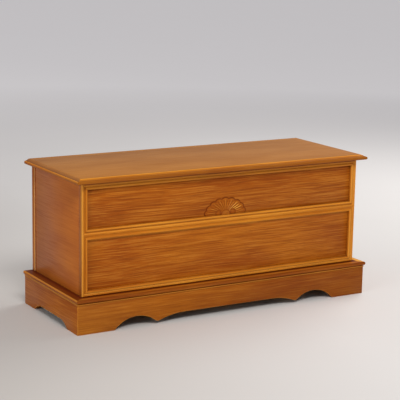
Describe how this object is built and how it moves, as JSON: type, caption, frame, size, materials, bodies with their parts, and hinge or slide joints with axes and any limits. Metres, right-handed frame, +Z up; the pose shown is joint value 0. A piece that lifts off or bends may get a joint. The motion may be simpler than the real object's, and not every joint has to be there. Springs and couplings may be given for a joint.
{
  "type": "blanket chest",
  "caption": "Low wooden storage chest with a lift-up moulded lid on slotted stays, a framed front with recessed panels and a carved fan, and a plinth with shaped bracket feet.",
  "frame": {"origin": "on the floor, under the middle of the whole chest", "axes": "+X along the chest, to the right as seen from the front; +Y from front to back; +Z up"},
  "size_m": [1.196, 0.4562, 0.53],
  "materials": {
    "veneer": "honey-stained veneer under satin lacquer",
    "stained_wood": "honey-stained solid wood under satin lacquer",
    "lid_wood": "honey-stained veneer and lipping under satin lacquer, a little paler",
    "inner_board": "unstained board",
    "brass": "brass-plated pressed steel",
    "pin_steel": "zinc-plated steel",
    "bumper_rubber": "moulded rubber pad"
  },
  "bodies": {
    "case": {"plinth_front": "veneer", "plinth_left": "veneer", "plinth_right": "veneer", "plinth_back": "inner_board", "corner_block_front_left": "inner_board", "corner_block_front_right": "inner_board", "corner_block_back_left": "inner_board", "corner_block_back_right": "inner_board", "cap_front": "stained_wood", "cap_left": "stained_wood", "cap_right": "stained_wood", "cap_back": "inner_board", "front_stile_left": "stained_wood", "front_stile_right": "stained_wood", "front_top_rail": "stained_wood", "front_mid_rail": "stained_wood", "front_bottom_rail": "stained_wood", "front_panel_upper": "veneer", "front_panel_lower": "veneer", "upper_bead_bottom": "stained_wood", "upper_bead_top": "stained_wood", "upper_bead_left": "stained_wood", "upper_bead_right": "stained_wood", "lower_bead_bottom": "stained_wood", "lower_bead_top": "stained_wood", "lower_bead_left": "stained_wood", "lower_bead_right": "stained_wood", "carved_fan": "stained_wood", "side_panel_left": "veneer", "side_panel_right": "veneer", "rear_post_left": "stained_wood", "rear_post_right": "stained_wood", "back_top_rail": "inner_board", "back_bottom_rail": "inner_board", "back_panel": "inner_board", "floor_panel": "inner_board", "hinge_1_case_leaf": "brass", "hinge_1_pin": "pin_steel", "hinge_2_case_leaf": "brass", "hinge_2_pin": "pin_steel", "hinge_3_case_leaf": "brass", "hinge_3_pin": "pin_steel", "stay_case_bracket_left": "brass", "stay_case_bracket_right": "brass"},
    "lid": {"lid_panel": "lid_wood", "lid_edge_front": "lid_wood", "lid_edge_left": "lid_wood", "lid_edge_right": "lid_wood", "lid_edge_back": "lid_wood", "lid_bumper_left": "bumper_rubber", "lid_bumper_right": "bumper_rubber", "hinge_1_lid_leaf": "brass", "hinge_2_lid_leaf": "brass", "hinge_3_lid_leaf": "brass", "stay_lid_bracket_left": "brass", "stay_lid_bracket_right": "brass"},
    "stay_arm_left": {"stay_arm_left": "brass"},
    "stay_arm_right": {"stay_arm_right": "brass"}
  },
  "joints": [
    {"name": "lid_hinge", "type": "hinge", "parent": "case", "child": "lid", "pos_m": [0, 0.22515, 0.511], "axis": [-1, 0, 0], "range_deg": [0, 95]},
    {"name": "stay_pivot_left", "type": "hinge", "parent": "lid", "child": "stay_arm_left", "pos_m": [-0.532, 0.07555, 0.5], "axis": [-1, 0, 0], "range_deg": [-47.5, 0]},
    {"name": "stay_pivot_right", "type": "hinge", "parent": "lid", "child": "stay_arm_right", "pos_m": [0.532, 0.07555, 0.5], "axis": [-1, 0, 0], "range_deg": [-47.5, 0]}
  ],
  "couplings": [
    {"joint": "stay_pivot_left", "follows": "lid_hinge", "ratio": -0.5},
    {"joint": "stay_pivot_right", "follows": "lid_hinge", "ratio": -0.5}
  ]
}
